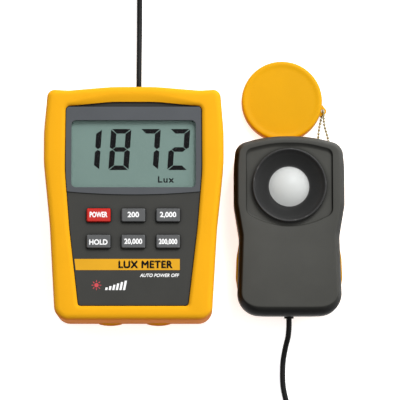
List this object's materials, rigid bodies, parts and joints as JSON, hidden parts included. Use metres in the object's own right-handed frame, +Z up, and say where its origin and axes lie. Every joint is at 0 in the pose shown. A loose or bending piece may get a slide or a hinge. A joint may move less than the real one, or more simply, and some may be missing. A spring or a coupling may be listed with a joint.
{
  "type": "light meter",
  "caption": "Hand-held digital light meter in a rubber holster, with a wired sensor head, its opal dome, a dust cap on a ball chain and a coiled sensor cord.",
  "frame": {"origin": "centre of the footprint of the meter, the sensor head and the cap, on the surface they lie on", "axes": "+X from the meter towards the sensor head, +Y from the keys towards the display, +Z up out of the front panel"},
  "size_m": [0.2014, 0.3003, 0.0365],
  "materials": {
    "holster_rubber": "satin",
    "yellow_plastic": "satin",
    "dark_plastic": "fine texture",
    "black_plastic": "satin",
    "bezel_plastic": "satin",
    "key_grey": "satin",
    "key_red": "satin",
    "clear_window": "clear",
    "lcd_glass": "matt polarizer",
    "white_plastic": "matt",
    "opal_plastic": "opal",
    "filter_glass": "clear",
    "board": "solder mask",
    "blue_plastic": "gloss",
    "label": "printed",
    "battery_wrap": "gloss",
    "wire": "satin",
    "zebra": "matt",
    "steel": "zinc plated",
    "ball_chain": "nickel plated",
    "black_rubber": "satin"
  },
  "bodies": {
    "meter": {"holster": "holster_rubber", "front_case": "dark_plastic", "rear_case": "dark_plastic", "lcd_bezel": "bezel_plastic", "lcd_window": "clear_window", "label_strip": "label", "lcd_panel": "lcd_glass", "lcd_holder": "white_plastic", "zebra_strips": "zebra", "main_pcb": "board", "pcb_screws": "steel", "tact_switches": "black_plastic", "control_chip": "black_plastic", "capacitors": "blue_plastic", "trimmers": "blue_plastic", "battery": "battery_wrap", "battery_clip": "black_plastic", "battery_leads": "wire", "cord_gland": "black_rubber", "case_screws": "steel", "sensor_cord_meter_run": "black_rubber", "sensor_cord_coil": "black_rubber", "sensor_cord_head_run": "black_rubber", "cord_tie": "black_rubber"},
    "power_key": {"button_power": "key_red"},
    "range_200_key": {"button_200": "key_grey"},
    "range_2000_key": {"button_2000": "key_grey"},
    "hold_key": {"button_hold": "key_grey"},
    "range_20000_key": {"button_20000": "key_grey"},
    "range_200000_key": {"button_200000": "key_grey"},
    "battery_door": {"battery_door": "dark_plastic"},
    "tilt_stand": {"tilt_stand": "dark_plastic"},
    "sensor_head": {"head_front": "dark_plastic", "head_rear": "yellow_plastic", "sensor_bowl": "black_plastic", "diffuser_dome": "opal_plastic", "filter_holder": "black_plastic", "photopic_filter": "filter_glass", "photodiode": "black_plastic", "sensor_pcb": "board", "head_screws": "steel", "head_gland": "black_rubber", "chain_pin": "steel"},
    "ball_chain": {"ball_chain": "ball_chain", "chain_coupling": "ball_chain"},
    "dust_cap": {"dust_cap": "yellow_plastic"}
  },
  "joints": [
    {"name": "power_key_press", "type": "slide", "parent": "meter", "child": "power_key", "axis": [0, 0, -1], "range_m": [0, 0.0008], "stiffness_N_per_m": 800},
    {"name": "range_200_key_press", "type": "slide", "parent": "meter", "child": "range_200_key", "axis": [0, 0, -1], "range_m": [0, 0.0008], "stiffness_N_per_m": 800},
    {"name": "range_2000_key_press", "type": "slide", "parent": "meter", "child": "range_2000_key", "axis": [0, 0, -1], "range_m": [0, 0.0008], "stiffness_N_per_m": 800},
    {"name": "hold_key_press", "type": "slide", "parent": "meter", "child": "hold_key", "axis": [0, 0, -1], "range_m": [0, 0.0008], "stiffness_N_per_m": 800},
    {"name": "range_20000_key_press", "type": "slide", "parent": "meter", "child": "range_20000_key", "axis": [0, 0, -1], "range_m": [0, 0.0008], "stiffness_N_per_m": 800},
    {"name": "range_200000_key_press", "type": "slide", "parent": "meter", "child": "range_200000_key", "axis": [0, 0, -1], "range_m": [0, 0.0008], "stiffness_N_per_m": 800},
    {"name": "stand_fold", "type": "hinge", "parent": "meter", "child": "tilt_stand", "pos_m": [-0.0328, 0.0331, 0.0037], "axis": [1, 0, 0], "range_deg": [0, 60]},
    {"name": "battery_door_hinge", "type": "hinge", "parent": "meter", "child": "battery_door", "pos_m": [-0.0328, -0.0583, 0.0034], "axis": [1, 0, 0], "range_deg": [-90, 0]},
    {"name": "sensor_head_move", "type": "slide", "parent": "meter", "child": "sensor_head", "axis": [1, 0, 0], "range_m": [0, 0.03]},
    {"name": "chain_swing", "type": "hinge", "parent": "sensor_head", "child": "ball_chain", "pos_m": [0.07105, 0.0217, 0.002], "axis": [0, 0, 1], "range_deg": [-30, 0]},
    {"name": "cap_swing", "type": "hinge", "parent": "ball_chain", "child": "dust_cap", "pos_m": [0.0706, 0.0455, 0.0027], "axis": [0, 0, 1], "range_deg": [-70, 0]}
  ]
}
